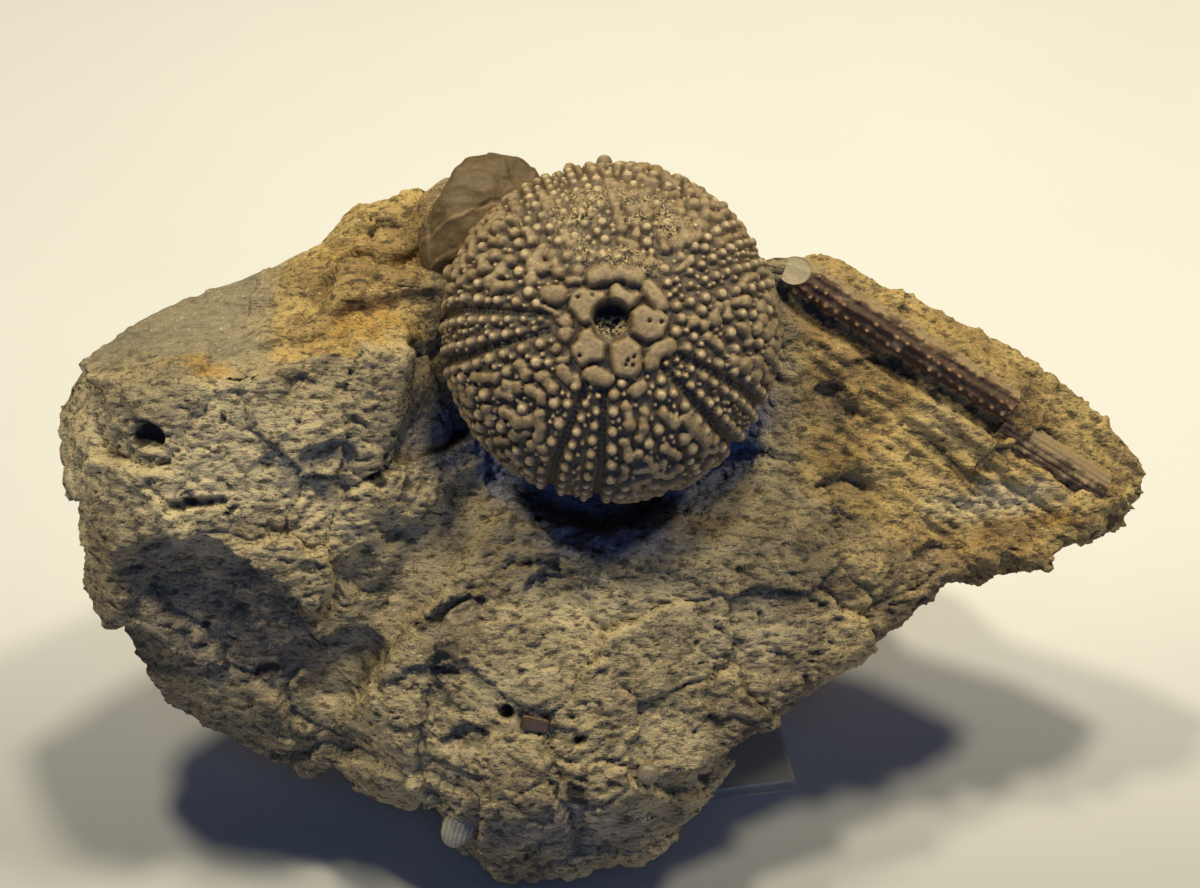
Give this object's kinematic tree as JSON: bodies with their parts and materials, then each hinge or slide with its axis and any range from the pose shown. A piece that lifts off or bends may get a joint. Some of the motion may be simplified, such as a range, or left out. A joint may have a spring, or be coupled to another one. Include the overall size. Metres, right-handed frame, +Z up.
{
  "type": "fossil sea urchin",
  "caption": "Knobbly domed sea urchin test weathering out of a rugged limestone block, with a spine along its ridge, leaned back on a clear plate.",
  "frame": {"origin": "on the shelf, under the middle of the whole specimen's bounding box", "axes": "+Z up, -Y towards the viewer of the leaned face, +X to the viewer's right along the block"},
  "size_m": [0.0922, 0.0475, 0.0551],
  "materials": {
    "limestone": "rough",
    "calcite_test": "satin",
    "spine_calcite": "satin",
    "shell": "satin",
    "pale_shell": "satin",
    "scute_brown": "satin",
    "clear_acrylic": "glossy"
  },
  "bodies": {
    "root": {"matrix_block": "limestone", "urchin_test": "calcite_test", "spine": "spine_calcite", "spine_end": "spine_calcite", "lamp_shell": "shell", "oyster": "pale_shell", "ossicle": "pale_shell", "scute": "scute_brown", "stand": "clear_acrylic"}
  },
  "joints": []
}
